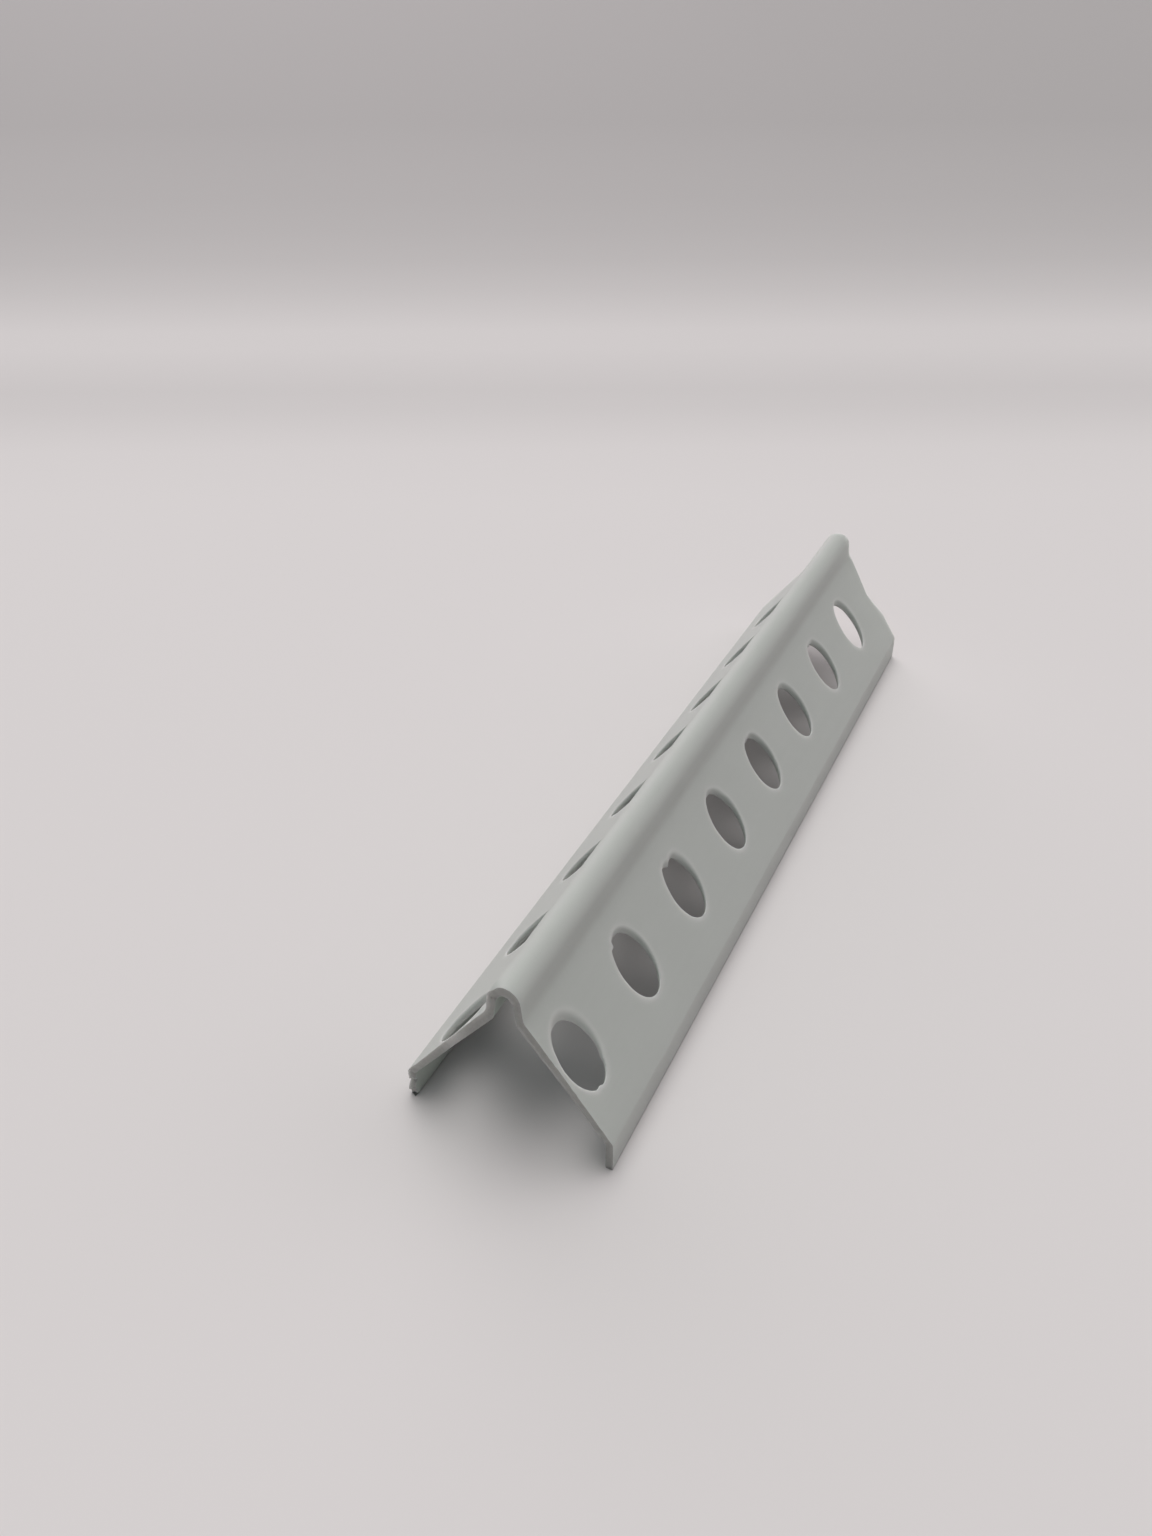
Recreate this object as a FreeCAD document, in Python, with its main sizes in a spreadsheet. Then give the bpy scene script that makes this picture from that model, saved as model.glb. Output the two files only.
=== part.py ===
import FreeCAD, Part
import math
import os

import Sketcher
from FreeCAD import Placement, Rotation, Vector

# A cut-off of perforated corner bead: one extrusion of rigid PVC that guards an outside
# corner. Two thin legs slope away from a proud round nose, and each leg ends in a short
# lip turned straight down. A row of holes is punched through each leg by round punches
# that come down at a slant to it, so every hole is an oval on the face of the leg.
#
# The bead stands on its two lips with the nose up. X runs across it, +Y along it and
# +Z up. The origin is on the floor, midway between the lips and between the two ends.
# All lengths are in millimetres and all angles in degrees.

doc = FreeCAD.newDocument("corner_guard")

SIZES = {
    # The section of the extrusion.
    "length": 131.9,
    "width": 26.0,
    "leg_slope": 51.7,
    "lip_height": 3.95,
    "lip_wall": 0.95,
    "nose_radius": 2.05,
    "nose_wall": 1.25,
    "nose_rise": 1.2,
    "nose_draft": 6.0,
    "hollow_radius": 1.0,
    "hollow_draft": 9.0,
    "root_wall": 1.2,
    "edge_wall": 0.8,
    "shoulder_round": 2.0,
    "root_round": 0.8,
    "bend_round": 0.9,
    "bend_inner_round": 0.4,
    "foot_round": 0.2,
    # The punched rows. The row's line is measured down the leg from the corner where
    # the two outer faces would meet, and the legs sloped less when they were punched.
    "hole_diameter": 6.6,
    "hole_pitch": 16.0,
    "hole_down_leg": 11.2,
    "punch_slope": 45.0,
    "right_bridge": 0.77,
    "left_bridge": 0.36,
    "last_bridge": 3.0,
    # The two hand-made cuts: how far each stands back from the full length, from the
    # left lip over the nose to the right lip.
    "near_left_lip": 0.05,
    "near_left_row": 0.45,
    "near_nose": 0.5,
    "near_right_shoulder": 0.4,
    "near_right_row": 0.33,
    "near_right_lip": 0.0,
    "far_left_lip": 0.6,
    "far_left_row": 0.5,
    "far_nose": 0.9,
    "far_right_shoulder": 0.0,
    "far_right_row": 2.8,
    "far_right_panel": 1.4,
    "far_right_lip": 2.4,
}

sheet = doc.addObject("Spreadsheet::Sheet", "Sizes")
for line, (name, value) in enumerate(SIZES.items(), start=1):
    sheet.set("A%d" % line, name)
    sheet.set("B%d" % line, str(value))
    sheet.setAlias("B%d" % line, name)
doc.recompute()

body = doc.addObject("PartDesign::Body", "CornerGuard")
body.Label = "corner_guard"


def origin_part(role):
    """A plane or an axis of the body's own origin."""
    return next(item for item in body.Origin.OriginFeatures if item.Role == role)


def new_sketch(name, plane):
    """An empty sketch on one of the body's origin planes."""
    sketch = body.newObject("Sketcher::SketchObject", name)
    sketch.AttachmentSupport = [(origin_part(plane), "")]
    sketch.MapMode = "FlatFace"
    return sketch


def join(sketch, kind, *ends):
    """Join two curves end to end, or put an end on another curve."""
    sketch.addConstraint(Sketcher.Constraint(kind, *ends))


def bind(sketch, kind, places, start, formula):
    """Add one dimension and tie it to the sheet."""
    index = sketch.addConstraint(Sketcher.Constraint(kind, *places, start))
    sketch.setExpression("Constraints[%d]" % index, formula)


def check_solid(feature, name):
    """Stop where a step has left anything but one valid solid, and give its volume."""
    doc.recompute()
    shape = feature.Shape
    if shape.isNull() or not shape.isValid() or len(shape.Solids) != 1:
        raise RuntimeError("%s has failed" % name)
    return shape.Volume


# Where the lines of the section meet, worked out from the sizes. The outer faces of the
# two legs, drawn on upwards, would meet at the apex.
slope = math.radians(SIZES["leg_slope"])
half = SIZES["width"] / 2
lip = SIZES["lip_height"]
lip_inside = half - SIZES["lip_wall"]
apex = lip + half * math.tan(slope)
crown = apex + SIZES["nose_rise"]

# The round nose and the hollow inside it: each one's radius, the height of its middle,
# and how far its flanks spread on the way down.
nose = (SIZES["nose_radius"], crown - SIZES["nose_radius"],
        math.radians(SIZES["nose_draft"]))
hollow = (SIZES["hollow_radius"], crown - SIZES["nose_wall"] - SIZES["hollow_radius"],
          math.radians(SIZES["hollow_draft"]))


def flank_top(radius, middle, draft):
    """Where the arc of the nose, or of its hollow, runs out into its flank."""
    return Vector(radius * math.cos(draft), middle + radius * math.sin(draft))


def flank_foot(radius, middle, draft, wall):
    """Where that flank meets the face this far under the leg's outer face."""
    top = flank_top(radius, middle, draft)
    line = apex - wall / math.cos(slope)
    run = (top.y - line + top.x * math.tan(slope)) / (
        math.cos(draft) - math.sin(draft) * math.tan(slope))
    return Vector(top.x + run * math.sin(draft), top.y - run * math.cos(draft))


def leg_inside(across):
    """The point of the leg's inner face above the inside of the lip."""
    return Vector(across, apex - across * math.tan(slope) - SIZES["edge_wall"] / math.cos(slope))


def arc(radius, middle, draft):
    """That arc, from the start of its flank up to the middle of the bead."""
    circle = Part.Circle(Vector(0, middle), Vector(0, 0, 1), radius)
    return Part.ArcOfCircle(circle, draft, math.pi / 2)


shoulder = flank_foot(*nose, 0)
root = flank_foot(*hollow, SIZES["root_wall"])
bend_inside = leg_inside(lip_inside)

# The right half of the section, drawn from the crown down the outside of the nose, leg
# and lip, and back up the inside.
section = new_sketch("Section", "XZ_Plane")
section.addGeometry([
    arc(*nose),
    Part.LineSegment(flank_top(*nose), shoulder),
    Part.LineSegment(shoulder, Vector(half, lip)),
    Part.LineSegment(Vector(half, lip), Vector(half, 0)),
    Part.LineSegment(Vector(half, 0), Vector(lip_inside, 0)),
    Part.LineSegment(Vector(lip_inside, 0), bend_inside),
    Part.LineSegment(bend_inside, root),
    Part.LineSegment(root, flank_top(*hollow)),
    arc(*hollow),
    Part.LineSegment(Vector(0, crown - SIZES["nose_wall"]), Vector(0, crown)),
], False)
NOSE, FLANK, LEG, LIP, FOOT, LIP_IN, LEG_IN, FLANK_IN, HOLLOW, CROWN = range(10)

# A sketch numbers its own axes -1 (across) and -2 (up), and its origin is (-1, 1).
ORIGIN = (-1, 1)

join(section, "Tangent", NOSE, 1, FLANK, 1)
for curve in (FLANK, LEG, LIP, FOOT, LIP_IN, LEG_IN):
    join(section, "Coincident", curve, 2, curve + 1, 1)
join(section, "Tangent", FLANK_IN, 2, HOLLOW, 1)
join(section, "Coincident", HOLLOW, 2, CROWN, 1)
join(section, "Coincident", CROWN, 2, NOSE, 2)
join(section, "Vertical", LIP)
join(section, "Vertical", LIP_IN)
for end in ((NOSE, 3), (HOLLOW, 3), (CROWN, 1), (CROWN, 2)):
    join(section, "PointOnObject", *end, -2)
for end in ((FOOT, 1), (FOOT, 2)):
    join(section, "PointOnObject", *end, -1)

bind(section, "Radius", (NOSE,), nose[0], "Sizes.nose_radius")
bind(section, "Radius", (HOLLOW,), hollow[0], "Sizes.hollow_radius")
bind(section, "DistanceY", (CROWN, 1, CROWN, 2), SIZES["nose_wall"], "Sizes.nose_wall")
bind(section, "Angle", (FLANK,), nose[2] - math.pi / 2, "Sizes.nose_draft - 90")
bind(section, "Angle", (FLANK_IN,), hollow[2] + math.pi / 2, "Sizes.hollow_draft + 90")
bind(section, "Angle", (LEG,), -slope, "-Sizes.leg_slope")
bind(section, "DistanceX", (*ORIGIN, FOOT, 1), half, "Sizes.width / 2")
bind(section, "DistanceY", (LIP, 2, LIP, 1), lip, "Sizes.lip_height")
bind(section, "DistanceX", (FOOT, 2, FOOT, 1), SIZES["lip_wall"], "Sizes.lip_wall")
bind(section, "Distance", (LEG_IN, 1, LEG), SIZES["edge_wall"], "Sizes.edge_wall")
bind(section, "Distance", (LEG_IN, 2, LEG), SIZES["root_wall"], "Sizes.root_wall")
bind(section, "DistanceY", (*ORIGIN, CROWN, 2), crown,
     "Sizes.lip_height + Sizes.width / 2 * tan(Sizes.leg_slope) + Sizes.nose_rise")

right_half = body.newObject("PartDesign::Pad", "RightHalf")
right_half.Profile = section
right_half.SideType = "Symmetric"
right_half.setExpression("Length", "Sizes.length")
check_solid(right_half, "the right half")

both_halves = body.newObject("PartDesign::Mirrored", "BothHalves")
both_halves.Originals = [right_half]
both_halves.MirrorPlane = (origin_part("YZ_Plane"), [""])
body.Tip = both_halves
check_solid(both_halves, "the mirrored section")


def long_edges(feature, points):
    """Names of the edges that run the full length through the given (x, z) points."""
    names = []
    for number, edge in enumerate(feature.Shape.Edges, start=1):
        box = edge.BoundBox
        if box.YLength > SIZES["length"] / 2 and any(
                abs(abs(box.Center.x) - point.x) < 0.02 and abs(box.Center.z - point.y) < 0.02
                for point in points):
            names.append("Edge%d" % number)
    return names


def round_edges(name, base, points, size):
    """Round the long edges through the given points of the section, on both halves."""
    fillet = body.newObject("PartDesign::Fillet", name)
    edges = long_edges(base, points)
    if len(edges) != 2 * len(points):
        raise RuntimeError("%s found %d edges" % (name, len(edges)))
    fillet.Base = (base, edges)
    fillet.setExpression("Radius", "Sizes." + size)
    check_solid(fillet, name)
    return fillet


# The die leaves no sharp corner along the bead: the nose flows into the legs, and the
# legs are rounded into the lips.
rounds = round_edges("ShoulderRound", both_halves, [shoulder], "shoulder_round")
rounds = round_edges("RootRound", rounds, [root], "root_round")
rounds = round_edges("BendRound", rounds, [Vector(half, lip)], "bend_round")
rounds = round_edges("BendInnerRound", rounds, [bend_inside], "bend_inner_round")
rounds = round_edges("FootRound", rounds, [Vector(half, 0), Vector(lip_inside, 0)], "foot_round")

# How far the cut ends' corners lie from the middle of the bead, with the same in words
# for the sheet. The outline of a cut runs on past the lips and past the ends.
row_x = SIZES["hole_down_leg"] * math.cos(slope)
ROW_FORMULA = "Sizes.hole_down_leg * cos(Sizes.leg_slope)"
STATIONS = {
    "nose": (0, "0"),
    "shoulder": (1.3 * nose[0], "1.3 * Sizes.nose_radius"),
    "row": (row_x, ROW_FORMULA),
    "panel": ((row_x + half) / 2, "(%s + Sizes.width / 2) / 2" % ROW_FORMULA),
    "lip": (half, "Sizes.width / 2"),
    "beyond": (1.3 * half, "1.3 * Sizes.width / 2"),
}
BEYOND_END = 6.0


def cut_end(name, side, stations):
    """Trim one end along the line through the named stations, from left to right."""
    corners = []
    for hand, station, back in stations:
        across, formula = STATIONS[station]
        corners.append((hand * across, formula, SIZES[back], "Sizes." + back))
    across, formula = STATIONS["beyond"]
    corners.insert(0, (-across, formula) + corners[0][2:])
    corners.append((across, formula) + corners[-1][2:])
    corners.append((across, formula, -BEYOND_END, "-%g" % BEYOND_END))
    corners.append((-across, formula, -BEYOND_END, "-%g" % BEYOND_END))

    points = [Vector(x, side * (SIZES["length"] / 2 - back)) for x, _, back, _ in corners]
    count = len(points)
    sketch = new_sketch(name + "Line", "XY_Plane")
    sketch.addGeometry([Part.LineSegment(points[i], points[(i + 1) % count])
                        for i in range(count)], False)
    for i, (x, formula, back, back_formula) in enumerate(corners):
        join(sketch, "Coincident", i, 2, (i + 1) % count, 1)
        if x == 0:
            join(sketch, "PointOnObject", i, 1, -2)
        else:
            ends = (*ORIGIN, i, 1) if x > 0 else (i, 1, *ORIGIN)
            bind(sketch, "DistanceX", ends, abs(x), formula)
        ends = (*ORIGIN, i, 1) if side > 0 else (i, 1, *ORIGIN)
        bind(sketch, "DistanceY", ends, abs(points[i].y),
             "Sizes.length / 2 - (%s)" % back_formula)

    before = body.Tip.Shape.Volume
    pocket = body.newObject("PartDesign::Pocket", name)
    pocket.Profile = sketch
    pocket.Type = "ThroughAll"
    pocket.SideType = "Symmetric"
    if not check_solid(pocket, name) < before:
        raise RuntimeError("%s cuts nothing" % name)


cut_end("NearCut", -1, [
    (-1, "lip", "near_left_lip"), (-1, "row", "near_left_row"), (1, "nose", "near_nose"),
    (1, "shoulder", "near_right_shoulder"), (1, "row", "near_right_row"),
    (1, "lip", "near_right_lip")])
cut_end("FarCut", 1, [
    (-1, "lip", "far_left_lip"), (-1, "row", "far_left_row"), (1, "nose", "far_nose"),
    (1, "shoulder", "far_right_shoulder"), (1, "row", "far_right_row"),
    (1, "panel", "far_right_panel"), (1, "lip", "far_right_lip")])

# As many holes as the length has room for, each row starting a thin bridge away from
# the near cut.
first_hole_in = (SIZES["near_right_row"] + SIZES["right_bridge"]
                 + SIZES["hole_diameter"] / 2)
last_hole_in = (SIZES["far_right_row"] + SIZES["last_bridge"] + SIZES["hole_diameter"] / 2)
holes_per_leg = 1 + math.floor(
    (SIZES["length"] - first_hole_in - last_hole_in) / SIZES["hole_pitch"])
COUNT_FORMULA = ("floor((Sizes.length - Sizes.near_right_row - Sizes.right_bridge"
                 " - Sizes.far_right_row - Sizes.last_bridge - Sizes.hole_diameter)"
                 " / Sizes.hole_pitch)")


def punch_row(name, side, cut, bridge):
    """One row of holes, punched through a leg by a round punch that leans off it."""
    # The sketch lies across the punch: it starts on the lengthwise plane, moves out to
    # the row's line on the outer face and turns until it faces back up the punch.
    sketch = new_sketch(name + "Circle", "YZ_Plane")
    lean = side * (SIZES["leg_slope"] - SIZES["punch_slope"])
    sketch.AttachmentOffset = Placement(
        Vector(0, apex - SIZES["hole_down_leg"] * math.sin(slope), side * row_x),
        Rotation(Vector(1, 0, 0), lean - 90))
    sketch.setExpression(
        "AttachmentOffset.Base.y", "Sizes.lip_height + Sizes.width / 2 * tan(Sizes.leg_slope)"
        " - Sizes.hole_down_leg * sin(Sizes.leg_slope)")
    sketch.setExpression("AttachmentOffset.Base.z", "%d * %s" % (side, ROW_FORMULA))
    sketch.setExpression("AttachmentOffset.Rotation.Angle",
                         "%d * (Sizes.leg_slope - Sizes.punch_slope) - 90" % side)
    radius = SIZES["hole_diameter"] / 2
    back = SIZES["length"] / 2 - SIZES[cut] - SIZES[bridge] - radius
    circle = sketch.addGeometry(
        Part.Circle(Vector(-back, 0), Vector(0, 0, 1), radius), False)
    join(sketch, "PointOnObject", circle, 3, -1)
    bind(sketch, "Diameter", (circle,), 2 * radius, "Sizes.hole_diameter")
    bind(sketch, "DistanceX", (circle, 3, *ORIGIN), back,
         "Sizes.length / 2 - Sizes.%s - Sizes.%s - Sizes.hole_diameter / 2" % (cut, bridge))

    before = body.Tip.Shape.Volume
    hole = body.newObject("PartDesign::Pocket", name + "First")
    hole.Profile = sketch
    hole.SideType = "Symmetric"
    hole.setExpression("Length", "Sizes.hole_diameter * tan(Sizes.punch_slope)"
                                 " + 4 * Sizes.root_wall")
    first_loss = before - check_solid(hole, name)
    row = body.newObject("PartDesign::LinearPattern", name)
    row.Originals = [hole]
    row.Direction = (origin_part("Y_Axis"), [""])
    row.setExpression("Length", "Sizes.hole_pitch * " + COUNT_FORMULA)
    row.setExpression("Occurrences", COUNT_FORMULA + " + 1")
    body.Tip = row
    loss = before - check_solid(row, name)
    if first_loss <= 0 or abs(loss / first_loss - holes_per_leg) > 0.05:
        raise RuntimeError("%s has lost some of its holes" % name)


punch_row("RightRow", 1, "near_right_row", "right_bridge")
punch_row("LeftRow", -1, "near_left_row", "left_bridge")

# Nothing is written unless the whole tree is sound.
for item in doc.Objects:
    if "Invalid" in item.State or "Error" in item.State:
        raise RuntimeError("%s has failed" % item.Name)
volume = check_solid(body, body.Label)
box = body.Shape.BoundBox
print("holes %d a leg, volume %.1f mm3, x %.2f..%.2f, y %.2f..%.2f, z %.2f..%.2f" % (
    holes_per_leg, volume, box.XMin, box.XMax, box.YMin, box.YMax, box.ZMin, box.ZMax))

os.makedirs("parts", exist_ok=True)
body.Shape.exportStep("parts/%s.step" % body.Label)
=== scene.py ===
import math

import bmesh
import bpy
from mathutils import Matrix, Vector, noise


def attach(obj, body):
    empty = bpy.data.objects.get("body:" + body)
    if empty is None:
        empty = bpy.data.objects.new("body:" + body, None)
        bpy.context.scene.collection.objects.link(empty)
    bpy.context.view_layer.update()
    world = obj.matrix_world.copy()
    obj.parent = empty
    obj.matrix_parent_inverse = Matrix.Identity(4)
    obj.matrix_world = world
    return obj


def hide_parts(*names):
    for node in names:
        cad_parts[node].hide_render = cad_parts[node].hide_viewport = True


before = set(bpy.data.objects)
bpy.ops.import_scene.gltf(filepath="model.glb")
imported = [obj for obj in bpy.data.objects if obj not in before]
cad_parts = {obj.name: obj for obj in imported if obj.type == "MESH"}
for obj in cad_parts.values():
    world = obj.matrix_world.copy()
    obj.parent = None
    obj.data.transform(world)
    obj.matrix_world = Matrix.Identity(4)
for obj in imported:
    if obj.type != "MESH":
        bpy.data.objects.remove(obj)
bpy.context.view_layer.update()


# The bead. It is a cut-off of perforated corner bead, extruded in one piece of rigid PVC:
# two thin legs slope away from a proud round nose and end in lips turned down. The die
# leaves every long edge rounded. Sizes are in millimetres until the mesh is made.
LEG_SLOPE = math.radians(51.7)
HALF_WIDTH = 13.0
LIP_HEIGHT = 3.95
LIP_WALL = 0.95
NOSE_RADIUS = 2.05
NOSE_WALL = 1.25
NOSE_RISE = 1.2
NOSE_DRAFT = math.radians(6.0)
HOLLOW_RADIUS = 1.0
HOLLOW_DRAFT = math.radians(9.0)
ROOT_WALL = 1.2
EDGE_WALL = 0.8
SHOULDER_ROUND = 2.0
ROOT_ROUND = 0.8
BEND_ROUND = 0.9
INSIDE_BEND_ROUND = 0.4
FOOT_ROUND = 0.2

# How many facets each part of the section is drawn with.
CROWN_STEPS = 12
FLANK_STEPS = 3
SHOULDER_STEPS = 6
BEND_STEPS = 5
LIP_STEPS = 9
FOOT_STEPS = 3

apex = LIP_HEIGHT + HALF_WIDTH * math.tan(LEG_SLOPE)
down_leg = Vector((math.cos(LEG_SLOPE), -math.sin(LEG_SLOPE)))
off_leg = Vector((math.sin(LEG_SLOPE), math.cos(LEG_SLOPE)))

# The nose and the hollow inside it: each one's radius, the height of its middle, and how
# far its flanks spread on the way down.
nose = (NOSE_RADIUS, apex + NOSE_RISE - NOSE_RADIUS, NOSE_DRAFT)
hollow = (HOLLOW_RADIUS, apex + NOSE_RISE - NOSE_WALL - HOLLOW_RADIUS, HOLLOW_DRAFT)


def around(curve, turn):
    """A point of the nose's or the hollow's arc, at an angle up from level."""
    radius, middle, _ = curve
    return Vector((radius * math.cos(turn), middle + radius * math.sin(turn)))


def flank_foot(curve, wall):
    """Where the arc's flank runs down into the face that lies this far inside the leg."""
    draft = curve[2]
    top = around(curve, draft)
    line = apex - wall / math.cos(LEG_SLOPE)
    run = (top.y - line + top.x * math.tan(LEG_SLOPE)) / (
        math.cos(draft) - math.sin(draft) * math.tan(LEG_SLOPE))
    return top + run * Vector((math.sin(draft), -math.cos(draft)))


def rounded(before, corner, after, radius, steps):
    """Points along the round that the die gives a corner of the section."""
    arms = [(before - corner).normalized(), (after - corner).normalized()]
    half_turn = arms[0].angle(arms[1]) / 2
    middle = corner + (arms[0] + arms[1]).normalized() * radius / math.sin(half_turn)
    start, end = [corner + arm * radius / math.tan(half_turn) - middle for arm in arms]
    sweep = math.atan2(start.x * end.y - start.y * end.x, start.dot(end))
    points = []
    for step in range(steps + 1):
        turn = sweep * step / steps
        points.append(middle + Vector((start.x * math.cos(turn) - start.y * math.sin(turn),
                                       start.x * math.sin(turn) + start.y * math.cos(turn))))
    return points


def spread(start, end, steps):
    """Points between two ends, without the ends themselves."""
    return [start.lerp(end, step / steps) for step in range(1, steps)]


def half_section(curve, wall, edge, across, shoulder_round, bend_round):
    """One face of the section from the crown to the foot, in two parts: nose and lip."""
    shoulder = flank_foot(curve, wall)
    bend = Vector((across, apex - across * math.tan(LEG_SLOPE) - edge / math.cos(LEG_SLOPE)))
    foot = Vector((across, 0))
    under = Vector((HALF_WIDTH - LIP_WALL / 2, 0))
    arc = [around(curve, math.pi / 2 + (curve[2] - math.pi / 2) * step / CROWN_STEPS)
           for step in range(CROWN_STEPS + 1)]
    top_round = rounded(arc[-1], shoulder, bend, shoulder_round, SHOULDER_STEPS)
    low_round = rounded(shoulder, bend, foot, bend_round, BEND_STEPS)
    end_round = rounded(bend, foot, under, FOOT_ROUND, FOOT_STEPS)
    upper = arc + spread(arc[-1], top_round[0], FLANK_STEPS) + top_round
    lower = low_round + spread(low_round[-1], end_round[0], LIP_STEPS) + end_round
    return upper, lower + [under]


outer_nose, outer_lip = half_section(nose, 0, 0, HALF_WIDTH, SHOULDER_ROUND, BEND_ROUND)
inner_nose, inner_lip = half_section(hollow, ROOT_WALL, EDGE_WALL, HALF_WIDTH - LIP_WALL,
                                     ROOT_ROUND, INSIDE_BEND_ROUND)


def leg_ends(points, next_points):
    """How far down the leg its flat part starts and ends, and how deep its face is."""
    spots = []
    for point in (points[-1], next_points[0]):
        offset = point - Vector((0, apex))
        spots.append((offset.dot(down_leg), -offset.dot(off_leg)))
    return spots


outer_spots = leg_ends(outer_nose, outer_lip)
inner_spots = leg_ends(inner_nose, inner_lip)


def face_depth(spots, u):
    """How deep a face of the leg lies at a place down it."""
    (start, start_depth), (end, end_depth) = spots
    return start_depth + (end_depth - start_depth) * (u - start) / (end - start)


def on_leg(hand, u, depth):
    """A point of the leg, this far down it and this deep in its wall."""
    place = Vector((0, apex)) + down_leg * u - off_leg * depth
    return Vector((hand * place.x, place.y))


def wall_at(u):
    """The leg's wall, which thins from the nose to the lip."""
    root = flank_foot(hollow, ROOT_WALL)
    root_u = root.x * down_leg.x + (root.y - apex) * down_leg.y
    edge_x = HALF_WIDTH - LIP_WALL
    edge_z = apex - edge_x * math.tan(LEG_SLOPE) - EDGE_WALL / math.cos(LEG_SLOPE)
    edge_u = edge_x * down_leg.x + (edge_z - apex) * down_leg.y
    return ROOT_WALL + (EDGE_WALL - ROOT_WALL) * (u - root_u) / (edge_u - root_u)


def wobble(*place):
    """A smooth chance value from -1 to 1 that is the same on every run."""
    return noise.noise(Vector(place))


# The two cuts. Both ends were snipped off by hand, out of square, which left their faces
# ragged, tore the left lip at the near end and dented the nose beside it. Each cut is given
# by how far it stands back from the full length, at places across the bead.
LENGTH = 131.9
NEAR_CUT = [(-14, 0.05), (-13, 0.05), (-6.9, 0.45), (0, 0.5), (2.7, 0.4), (6.9, 0.33),
            (13, 0.0), (14, 0.0)]
FAR_CUT = [(-14, 0.6), (-13, 0.6), (-6.9, 0.5), (0, 0.9), (2.7, 0.0), (6.9, 2.8), (10, 1.4),
           (13, 2.4), (14, 2.4)]
CUT_MARGIN = 0.02

# The raggedness is the sum of these, each with its reach and its turns in a millimetre.
RAGGED = ((0.10, 0.9), (0.07, 2.6), (0.04, 6.0))
FAR_RAGGED_SHARE = 0.5
TORN_LIP_FROM = -12
TORN_LIP_REACH = 1.1
TORN_LIP_TURNS = (0.6, 2.1)

# The dent in the nose's left shoulder: how deep it is, where its middle lies across the
# bead, how wide and how long it is, where its length starts, and its lowest place.
DENT_DEPTH = 0.34
DENT_ACROSS = -1.3
DENT_WIDTH = 0.6
DENT_LENGTH = 0.9
DENT_START = 0.5
DENT_LOWEST = 19.8

# Where the cut's own face is drawn between the outside and the inside of the wall, and
# how deep the snips bit into it.
CUT_SHARES = (0, 0.03, 0.2, 0.35, 0.5, 0.65, 0.8, 0.97, 1)
CUT_BITE = 0.10


def set_back(cut, across):
    """How far a cut stands back at a place across the bead."""
    for (left, left_back), (right, right_back) in zip(cut, cut[1:]):
        if across <= right:
            return left_back + (right_back - left_back) * (across - left) / (right - left)
    return cut[-1][1]


def cut_end(side, point, face):
    """Where the bead ends, at a point of its section."""
    cut = FAR_CUT if side > 0 else NEAR_CUT
    if point.y < 0.001:
        face = 0  # The two faces meet under the foot.
    seed = 7.3 * side + 3.1 * face
    ragged = 0.0
    for number, (reach, turns) in enumerate(RAGGED):
        ragged += reach * wobble(point.x * turns, point.y * turns, seed + 20 * number)
    if side < 0 and point.x < TORN_LIP_FROM:
        turns_across, turns_up = TORN_LIP_TURNS
        ragged += TORN_LIP_REACH * wobble(point.x * turns_across, point.y * turns_up, seed + 60)
    if side > 0:
        ragged *= FAR_RAGGED_SHARE
    return side * (LENGTH / 2 - set_back(cut, point.x) - abs(ragged) - CUT_MARGIN)


# The punched rows. Round punches came straight down while the legs still stood at 45
# degrees, so each hole is an oval in the leg and its wall leans. The punch shears the
# entry clean, tears the rest out, and rolls the upper edge down as it goes in.
PITCH = 16.0
ROW_DOWN_LEG = 11.2
PUNCH_RADIUS = 3.3
OVAL = PUNCH_RADIUS / math.cos(math.radians(45))
FIRST_HOLE = {1: -61.55, -1: -61.84}
HOLES = 8

# How many facets one hole's stretch of leg has down the leg and along the bead, how many
# rings it has on the face, round the rim, down the wall and inside, and how closely the
# rings of the two faces gather at the hole.
ALONG_LEG = 30
ALONG_BEAD = 28
FACE_RINGS = 7
RIM_RINGS = 4
SHEARED_RINGS = 3
TORN_RINGS = 3
INSIDE_RINGS = 6
FACE_GATHERED = 0.7
INSIDE_GATHERED = 1.4

# The rim's round, and what leaning and chance add to it. The punch dragged the rim of
# every hole down on its upper side, and that of two right holes much further.
RIM_ROUND = 0.26
RIM_LEAN = 0.14
RIM_CHANCE = 0.05
RIM_INSET = 0.3
DRAG = 0.12
DRAGGED_FURTHER = {(1, 0): 0.5, (1, 2): 0.36}
DRAG_TOWARD = math.radians(155)

# The share of the wall that is sheared clean, with what coarse and fine chance add, how
# much stretch white and painted light it gets, and how much the torn rest spreads.
SHEARED = 0.58
SHEARED_COARSE = 0.16
SHEARED_FINE = 0.08
SHEARED_LEAST = 0.05
SHEARED_WHITENED_AND_LIT = 0.6
TEAR_CREEP = 0.1
FLARE = 0.4
FLARE_LEAN = 0.6
FLARE_CHANCE = 0.2

# How far the whitening with its painted highlight, and the tearing with its painted
# light, fade out beyond the hole.
RIM_FADE = 0.25
TORN_FADE = 0.2

# Small flaps that the punch left standing in single holes: where each is around the hole,
# how far it spreads to each side, both in degrees, and how far it reaches in, as a share
# of the radius. Degrees run from the lip's side of the hole towards the far end.
FLAPS = {(1, 0): [(350, 11, 0.06), (52, 8, 0.04)], (1, 1): [(213, 9, 0.10)],
         (1, 2): [(178, 36, 0.20)], (1, 3): [(120, 14, 0.03)], (1, 4): [(180, 40, 0.09)],
         (1, 6): [(178, 26, 0.07)], (-1, 0): [(200, 15, 0.05)]}
OUT_OF_ROUND = 0.006


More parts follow.
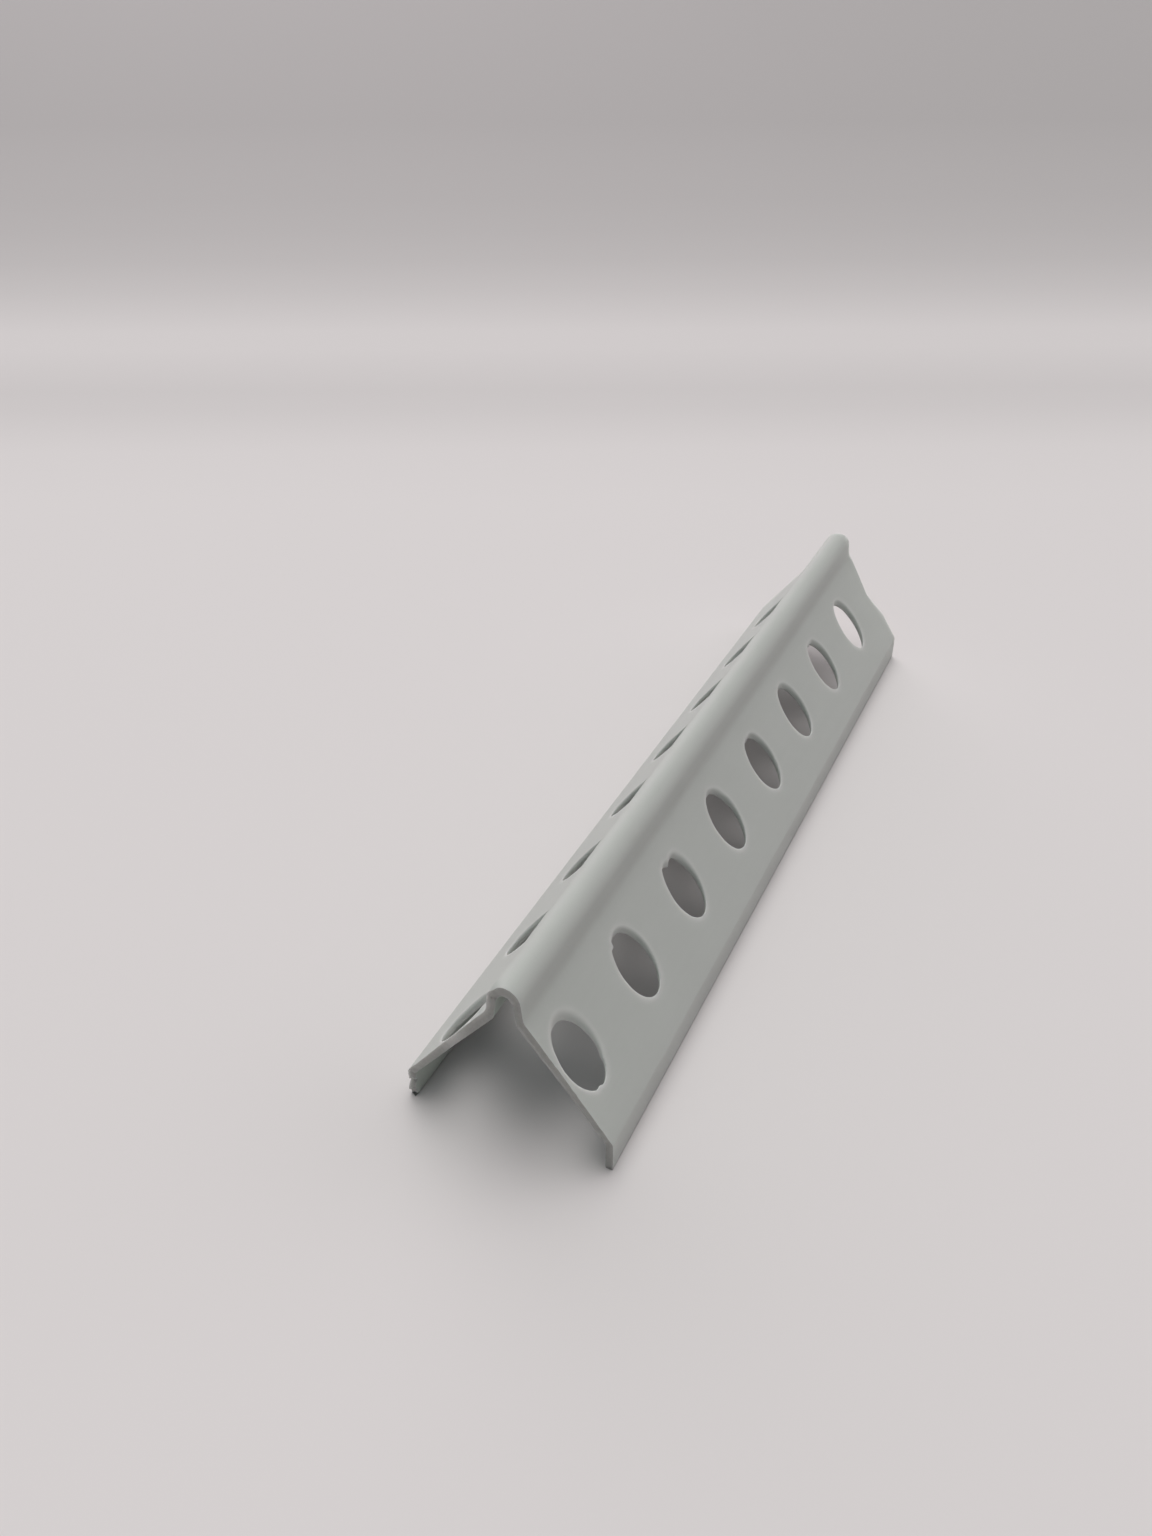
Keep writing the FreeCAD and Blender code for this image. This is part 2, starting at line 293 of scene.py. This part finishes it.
def hole_outline(hand, index, turn):
    """The punched circle's radius at an angle, with its small faults."""
    share = 1 + OUT_OF_ROUND * wobble(3 * math.cos(turn), 3 * math.sin(turn), index + 5 * hand)
    for where, spread_to, depth in FLAPS.get((hand, index), []):
        away = abs((math.degrees(turn) - where + 180) % 360 - 180)
        share -= depth * max(0, 1 - away / spread_to)
    return PUNCH_RADIUS * share


def cell_edge(index, point, hand, face):
    """How far along the bead the edge of a hole's stretch of leg lies."""
    if index == 0:
        return cut_end(-1, point, face)
    if index == HOLES:
        return cut_end(1, point, face)
    share = min(max(point.x / 4 + 0.5, 0), 1)
    first = FIRST_HOLE[-1] + (FIRST_HOLE[1] - FIRST_HOLE[-1]) * share
    return first + PITCH * (index - 0.5)


bead_mesh = bmesh.new()
rim_layer = bead_mesh.verts.layers.float.new("rim")
torn_layer = bead_mesh.verts.layers.float.new("torn")
cut_layer = bead_mesh.verts.layers.float.new("cut")
MM = 0.001


def vertex(point, y, rim=0.0, torn=0.0, cut=0.0):
    """A vertex of the bead, from a point of its section and a place along it."""
    near = max(0.0, 1 - (y + LENGTH / 2 - DENT_START) / DENT_LENGTH)
    beside = math.exp(-((point.x - DENT_ACROSS) / DENT_WIDTH) ** 2)
    pressed = DENT_DEPTH * min(near, 1.0) * beside * (point.y > DENT_LOWEST)
    made = bead_mesh.verts.new((point.x * MM, y * MM, (point.y - pressed) * MM))
    made[rim_layer] = rim
    made[torn_layer] = torn
    made[cut_layer] = cut
    return made


def skin(rows, flip):
    """Quads between rows of vertices that run side by side."""
    for low, high in zip(rows, rows[1:]):
        for i in range(len(low) - 1):
            corners = [low[i], low[i + 1], high[i + 1], high[i]]
            bead_mesh.faces.new(corners[::-1] if flip else corners)


def panel_outline(hand, index, spots, face):
    """The edge of a hole's stretch of leg, down its near side first and back up its far one.

    Each is a place down the leg, a place along the bead, and its angle around the hole.
    """
    (start, _), (end, _) = spots
    corners = ((start, 0.0), (end, 0.0), (end, 1.0), (start, 1.0))
    outline = []
    for number, steps in enumerate((ALONG_LEG, ALONG_BEAD, ALONG_LEG, ALONG_BEAD)):
        (u_from, share_from), (u_to, share_to) = corners[number], corners[(number + 1) % 4]
        for step in range(steps):
            u = u_from + (u_to - u_from) * step / steps
            share = share_from + (share_to - share_from) * step / steps
            turn = math.radians((225 + 90 * number) % 360 + 90 * step / steps)
            point = on_leg(hand, u, face_depth(spots, u))
            near, far = [cell_edge(index + end, point, hand, face) for end in (0, 1)]
            outline.append((u, near + (far - near) * share, turn))
    return outline


def hole_column(hand, index, turn, outside, inside):
    """Places from the leg's outer face over the rim and through the hole to its inner face.

    Each is a place on the leg, its depth, its stretch white with painted light, and how torn it is.
    """
    radius = hole_outline(hand, index, turn)
    u_rim = ROW_DOWN_LEG + OVAL / PUNCH_RADIUS * radius * math.cos(turn)
    y_rim = FIRST_HOLE[hand] + PITCH * index + radius * math.sin(turn)
    away = Vector((math.cos(turn) / OVAL, math.sin(turn) / PUNCH_RADIUS)).normalized()
    lean = away.x
    chance = wobble(2.2 * math.cos(turn), 2.2 * math.sin(turn), 11.0 * index + 4 * hand)
    fine = wobble(9 * math.cos(turn), 9 * math.sin(turn), 17.0 * index + 4 * hand)
    ease = RIM_ROUND + RIM_LEAN * lean + RIM_CHANCE * chance
    ease += DRAGGED_FURTHER.get((hand, index), DRAG) * max(0, math.cos(turn - DRAG_TOWARD))
    wall = wall_at(u_rim + 1)
    sheared = max(wall * (SHEARED + SHEARED_COARSE * chance + SHEARED_FINE * fine),
                  ease + SHEARED_LEAST)
    rim_place = Vector((u_rim, y_rim)) - away * (RIM_INSET * ease * max(lean, 0))
    start = rim_place + away * ease
    column = []
    for ring in range(FACE_RINGS):
        place = Vector(outside).lerp(start, (ring / FACE_RINGS) ** FACE_GATHERED)
        # Stretch white with its painted highlight, fading out over the face.
        whitened_and_lit = math.exp(-(place - start).length / RIM_FADE)
        column.append((place, face_depth(outer_spots, place.x), whitened_and_lit, 0.0))
    # Full stretch white and painted highlight round the rim; less down the sheared wall, as painted
    # light.
    for ring in range(RIM_RINGS + 1):
        share = ring / RIM_RINGS
        reach = ease * (1 - share) ** 2
        depth = ease * share ** 2
        column.append((rim_place + away * (reach + depth * lean), depth, 1.0, 0.0))
    for ring in range(1, SHEARED_RINGS + 1):
        depth = ease + (sheared - ease) * ring / SHEARED_RINGS
        column.append((rim_place + away * depth * lean, depth,
                       SHEARED_WHITENED_AND_LIT, TEAR_CREEP * ring))
    flare = FLARE + FLARE_LEAN * max(-lean, 0) + FLARE_CHANCE * fine
    for ring in range(1, TORN_RINGS + 1):
        depth = sheared + (wall - sheared) * (ring / TORN_RINGS)
        place = rim_place + away * (depth * lean + flare * (depth - sheared))
        if ring == TORN_RINGS:
            depth = face_depth(inner_spots, place.x)
        column.append((place, depth, 0.0, 1.0))
    leave = column[-1][0]
    for ring in range(1, INSIDE_RINGS + 1):
        place = leave.lerp(Vector(inside), (ring / INSIDE_RINGS) ** INSIDE_GATHERED)
        torn = math.exp(-(place - leave).length / TORN_FADE)
        column.append((place, face_depth(inner_spots, place.x), 0.0, torn))
    return column


def panel(hand, index):
    """The stretch of leg around one hole: outer face, rim, leaning wall and inner face."""
    outer_outline = panel_outline(hand, index, outer_spots, 0)
    inner_outline = panel_outline(hand, index, inner_spots, 1)
    columns = []
    for (u_out, y_out, turn), (u_in, y_in, _) in zip(outer_outline, inner_outline):
        column = hole_column(hand, index, turn, (u_out, y_out), (u_in, y_in))
        columns.append([vertex(on_leg(hand, place.x, depth), place.y, rim, torn)
                        for place, depth, rim, torn in column])
    columns.append(columns[0])
    skin(columns, hand < 0)


def strip(hand, points, face):
    """The faces of the nose or the lip, which run from one cut end to the other."""
    rows = []
    for point in points:
        here = Vector((hand * point.x, point.y))
        row = []
        for index in range(HOLES):
            near, far = [cell_edge(index + end, here, hand, face) for end in (0, 1)]
            steps = ALONG_BEAD + 1 if index == HOLES - 1 else ALONG_BEAD
            row += [vertex(here, near + (far - near) * step / ALONG_BEAD) for step in range(steps)]
        rows.append(row)
    skin(rows, (hand > 0) == (face == 0))


def end_face(hand, side):
    """The ragged face that a cut left, from the outside of the section to the inside."""
    leg_pairs = []
    for step in range(1, ALONG_LEG):
        spots = []
        for ends in (outer_spots, inner_spots):
            u = ends[0][0] + (ends[1][0] - ends[0][0]) * step / ALONG_LEG
            spots.append(on_leg(1, u, face_depth(ends, u)))
        leg_pairs.append(spots)
    rows = []
    for outer, inner in [*zip(outer_nose, inner_nose), *leg_pairs, *zip(outer_lip, inner_lip)]:
        outer = Vector((hand * outer.x, outer.y))
        inner = Vector((hand * inner.x, inner.y))
        outer_y, inner_y = cut_end(side, outer, 0), cut_end(side, inner, 1)
        row = []
        for share in CUT_SHARES:
            point = outer.lerp(inner, share)
            y = outer_y + (inner_y - outer_y) * share
            if 0.1 < share < 0.9 and outer != inner:
                y -= side * CUT_BITE * abs(wobble(point.x * 4, point.y * 4, 60 + side))
            # The outermost places are shared with the faces beside the cut, which keep the plain
            # colour.
            row.append(vertex(point, y, cut=0.0 if share in (0, 1) else 1.0))
        rows.append(row)
    skin(rows, (hand > 0) == (side > 0))


for hand in (1, -1):
    for index in range(HOLES):
        panel(hand, index)
    for face, (nose_points, lip_points) in enumerate(
            ((outer_nose, outer_lip), (inner_nose, inner_lip))):
        strip(hand, nose_points, face)
        strip(hand, lip_points, face)
    for side in (-1, 1):
        end_face(hand, side)

bmesh.ops.remove_doubles(bead_mesh, verts=bead_mesh.verts, dist=2e-6)
bmesh.ops.recalc_face_normals(bead_mesh, faces=bead_mesh.faces)
mesh = bpy.data.meshes.new("bead")
bead_mesh.to_mesh(mesh)
triangles = sum(len(face.verts) - 2 for face in bead_mesh.faces)
open_edges = sum(1 for edge in bead_mesh.edges if len(edge.link_faces) != 2)
print("bead: %d triangles, %d open edges, volume %.1f mm3" % (
    triangles, open_edges, bead_mesh.calc_volume() / MM ** 3))
bead_mesh.free()
mesh.shade_smooth()
mesh.set_sharp_from_angle(angle=math.radians(40))


def link(thing):
    """Put an object in the scene."""
    bpy.context.scene.collection.objects.link(thing)
    return thing


bead = link(bpy.data.objects.new("bead", mesh))

# The plastic. Rigid PVC, pale grey-green all through, with faint lines that the die drew
# along it. It is whiter where the punch stretched it, and that white is also a painted
# highlight round each hole's rim and painted light down its sheared wall. It is rough where
# the punch tore it out, and pale there, partly as painted light that lifts the shade low in
# the hole. It is dull, darker and browner where it was cut.
GREY_GREEN = ((0.445, 0.470, 0.445, 1), (0.487, 0.513, 0.487, 1))
# Stretch white of the rim, which also serves as a painted highlight round the rim and painted light
# down the sheared wall.
STRETCH_WHITE_AND_PAINTED_LIGHT = (0.60, 0.61, 0.59, 1)
# The torn wall's pale, which is partly painted light that lifts the shade low in the hole.
TORN_PALE_AND_LIT = ((0.52, 0.52, 0.51, 1), (0.68, 0.67, 0.66, 1))
# Darker and browner, for the cut faces.
CUT_DARKER = ((0.31, 0.30, 0.29, 1), (0.45, 0.435, 0.42, 1))

# How high each kind of roughness stands, in metres.
DIE_LINE_HEIGHT = 0.00001
GRAIN_HEIGHT = 0.000006
MOTTLE_HEIGHT = 0.00002
CRUMB_HEIGHT = 0.00012


class Wire:
    """A socket of a material's nodes, which Python's own operators join to Math nodes."""

    def __init__(self, tree, socket=None):
        self.tree = tree
        self.socket = socket

    def node(self, kind, settings=None, output=0, **values):
        """Add a node, give it its settings and then the values or links of its sockets."""
        made = self.tree.nodes.new(kind)
        for name, setting in (settings or {}).items():
            if name == "stops":
                marks = made.color_ramp.elements
                marks[0].position, marks[1].position = setting[0][0], setting[-1][0]
                marks[0].color, marks[1].color = (*setting[0][1], 1), (*setting[-1][1], 1)
                for place, colour in setting[1:-1]:
                    marks.new(place).color = (*colour, 1)
            else:
                setattr(made, name, setting)
        for name, value in values.items():
            key = int(name[1:]) if name[0] == "s" and name[1:].isdigit() else name.replace("_", " ")
            slot = made.inputs[key]
            if isinstance(value, Wire):
                self.tree.links.new(value.socket, slot)
            else:
                slot.default_value = value
        return Wire(self.tree, made.outputs[output])

    def math(self, operation, left, right=0.0):
        """Add a Math node on two values."""
        return self.node("ShaderNodeMath", {"operation": operation}, s0=left, s1=right)

    def __add__(self, other):
        return self.math("ADD", self, other)

    def __radd__(self, other):
        return self.math("ADD", other, self)

    def __mul__(self, other):
        return self.math("MULTIPLY", self, other)

    def __rmul__(self, other):
        return self.math("MULTIPLY", other, self)

    def blend(self, first, second):
        """A colour between two, this far from the first to the second."""
        return self.node("ShaderNodeMix", {"data_type": "RGBA"}, 2, s0=self, s6=first, s7=second)


pvc = bpy.data.materials.new("pvc")
pvc.use_nodes = True
shader = pvc.node_tree.nodes["Principled BSDF"]
stock = Wire(pvc.node_tree)
place = stock.node("ShaderNodeTexCoord", output=3)
drawn = stock.node("ShaderNodeMapping", Vector=place, Scale=(1, 0.02, 1))
lines = stock.node("ShaderNodeTexNoise", Vector=drawn, Scale=1500.0, Detail=3.0, Roughness=0.6)
mottle = stock.node("ShaderNodeTexNoise", Vector=place, Scale=120.0, Detail=4.0, Roughness=0.55)
grain = stock.node("ShaderNodeTexNoise", Vector=place, Scale=4000.0, Detail=2.0, Roughness=0.5)
crumbs = stock.node("ShaderNodeTexNoise", Vector=place, Scale=1800.0, Detail=4.0, Roughness=0.65)
rim = stock.node("ShaderNodeAttribute", {"attribute_name": "rim"}, 2)
torn = stock.node("ShaderNodeAttribute", {"attribute_name": "torn"}, 2)
cut = stock.node("ShaderNodeAttribute", {"attribute_name": "cut"}, 2)
plain = (mottle * 0.6 + lines * 0.4).blend(*GREY_GREEN)
# Stretch white with a painted highlight round the rim and painted light down the sheared wall.
whitened_and_lit = (rim * 0.4).blend(plain, STRETCH_WHITE_AND_PAINTED_LIGHT)
# Torn pale, partly painted light lifting the shade low in the hole.
ragged = (torn * 0.8).blend(whitened_and_lit, crumbs.blend(*TORN_PALE_AND_LIT))
# Darker and browner on the cut faces.
colour = cut.blend(ragged, crumbs.blend(*CUT_DARKER))
rough = 0.42 + mottle * 0.12 + torn * 0.2 + cut * 0.3
height = (lines * DIE_LINE_HEIGHT + grain * GRAIN_HEIGHT + mottle * MOTTLE_HEIGHT
          + crumbs * (torn + cut) * CRUMB_HEIGHT)
bump = stock.node("ShaderNodeBump", Strength=1.0, Distance=1.0, Height=height)
pvc.node_tree.links.new(colour.socket, shader.inputs["Base Color"])
pvc.node_tree.links.new(rough.socket, shader.inputs["Roughness"])
pvc.node_tree.links.new(bump.socket, shader.inputs["Normal"])
shader.inputs["IOR"].default_value = 1.5
shader.inputs["Subsurface Weight"].default_value = 0.6
shader.inputs["Subsurface Radius"].default_value = (0.95, 1.0, 0.95)
shader.inputs["Subsurface Scale"].default_value = 0.003
mesh.materials.append(pvc)
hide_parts("corner_guard")
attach(bead, "root")


# The light. It is broad and soft, and comes from overhead and from behind, a little from
# the right, and almost none from the front.

# Each glow is a wide patch of light: how far it is tilted from overhead, its side (0 is to
# the right of the bead, 90 is beyond its far end), and its colour and strength.
GLOWS = [(0, 0, (2.84, 2.76, 2.73)), (30, 120, (2.34, 2.34, 2.28)), (60, 45, (1.55, 1.42, 1.50)),
         (60, 270, (0.0, 0.16, 0.18)), (80, 130, (2.80, 2.50, 2.66))]
GLOW_GATHERED = 12.0
PLAIN_GREY = (0.55, 0.53, 0.53, 1)

world = bpy.data.worlds.new("room")
world.use_nodes = True
air = Wire(world.node_tree)
toward = air.node("ShaderNodeTexCoord")
light = (0.0, 0.0, 0.0)
for tilt, turn, colour in GLOWS:
    tilt, turn = math.radians(tilt), math.radians(turn)
    aim = (math.sin(tilt) * math.cos(turn), math.sin(tilt) * math.sin(turn), math.cos(tilt))
    facing = air.node("ShaderNodeVectorMath", {"operation": "DOT_PRODUCT"}, 1, s0=toward, s1=aim)
    patch = facing.math("POWER", facing.math("MAXIMUM", facing, 0.0), GLOW_GATHERED)
    lit = air.node("ShaderNodeVectorMath", {"operation": "SCALE"}, s0=colour, Scale=patch)
    light = air.node("ShaderNodeVectorMath", {"operation": "ADD"}, s0=light, s1=lit)
glow = air.node("ShaderNodeBackground", Color=light, Strength=1.0)

# What is seen past the paper, and what the plastic's gloss mirrors, is one plain pale grey.
seen = (air.node("ShaderNodeLightPath", output="Is Camera Ray")
        + air.node("ShaderNodeLightPath", output="Is Glossy Ray")
        + air.node("ShaderNodeLightPath", output="Is Transmission Ray"))
far_wall = air.node("ShaderNodeBackground", Color=PLAIN_GREY, Strength=1.0)
room = air.node("ShaderNodeMixShader", s0=seen, s1=glow, s2=far_wall)
world.node_tree.links.new(room.socket, world.node_tree.nodes["World Output"].inputs["Surface"])
world.node_tree.nodes.remove(world.node_tree.nodes["Background"])
bpy.context.scene.world = world
bpy.context.scene.view_settings.view_transform = "Standard"


# The paper. The bead stands on a wide flat sheet of white paper, whose colour paints the
# shade it falls into behind the bead, with a painted band of highlight across that shade.
# The tones are shares of the paper's white, at distances in metres along the way that leads
# straight back over the paper.
SHEET_REACH = 4
PAPER_WHITE = (0.735, 0.712, 0.71)
STRAIGHT_BACK = (-0.4256, 0.9049, 0)
PAINTED_TONES = [(0.130, 1.0), (0.165, 0.975), (0.198, 0.885), (0.216, 0.865), (0.258, 0.93),
         (0.280, 0.925), (0.306, 0.86), (0.336, 0.79), (0.385, 0.71), (0.444, 0.66),
         (0.520, 0.625), (0.80, 0.57)]

sheet_mesh = bpy.data.meshes.new("sheet")
sheet_mesh.from_pydata([(-SHEET_REACH, -SHEET_REACH, 0), (SHEET_REACH, -SHEET_REACH, 0),
                        (SHEET_REACH, SHEET_REACH, 0), (-SHEET_REACH, SHEET_REACH, 0)],
                       [], [(0, 1, 2, 3)])
sheet = link(bpy.data.objects.new("sheet", sheet_mesh))
paper = bpy.data.materials.new("paper")
paper.use_nodes = True
spot = Wire(paper.node_tree)
place = spot.node("ShaderNodeNewGeometry")
reach = spot.node("ShaderNodeVectorMath", {"operation": "DOT_PRODUCT"}, 1, s0=place,
                  s1=STRAIGHT_BACK)
# Painted shade behind the bead, with a painted band of highlight.
stops = [(distance, tuple(part * tone for part in PAPER_WHITE)) for distance, tone in PAINTED_TONES]
fade = spot.node("ShaderNodeValToRGB", {"stops": stops}, Fac=reach)
paper_shader = paper.node_tree.nodes["Principled BSDF"]
paper.node_tree.links.new(fade.socket, paper_shader.inputs["Base Color"])
paper_shader.inputs["Roughness"].default_value = 0.8
paper_shader.inputs["Specular IOR Level"].default_value = 0.2
sheet_mesh.materials.append(paper)


# The camera stands a hand's width above the near end and to its right. Its place, its turn
# and its lens come from fitting the holes and the long edges.
CAMERA_PLACE = Vector((0.049274, -0.151989, 0.114900))
ACROSS = Vector((0.906245, 0.422727, -0.004728))
DOWN = Vector((0.229788, -0.501946, -0.833815))
AHEAD = Vector((-0.354849, 0.754554, -0.552024))

lens = bpy.data.cameras.new("camera")
lens.lens = 30.117
lens.sensor_width = 36.0
lens.clip_start = 0.005
eye = link(bpy.data.objects.new("camera", lens))
eye.matrix_world = Matrix.LocRotScale(
    CAMERA_PLACE, Matrix((ACROSS, -DOWN, -AHEAD)).transposed().to_quaternion(), None)
bpy.context.scene.camera = eye
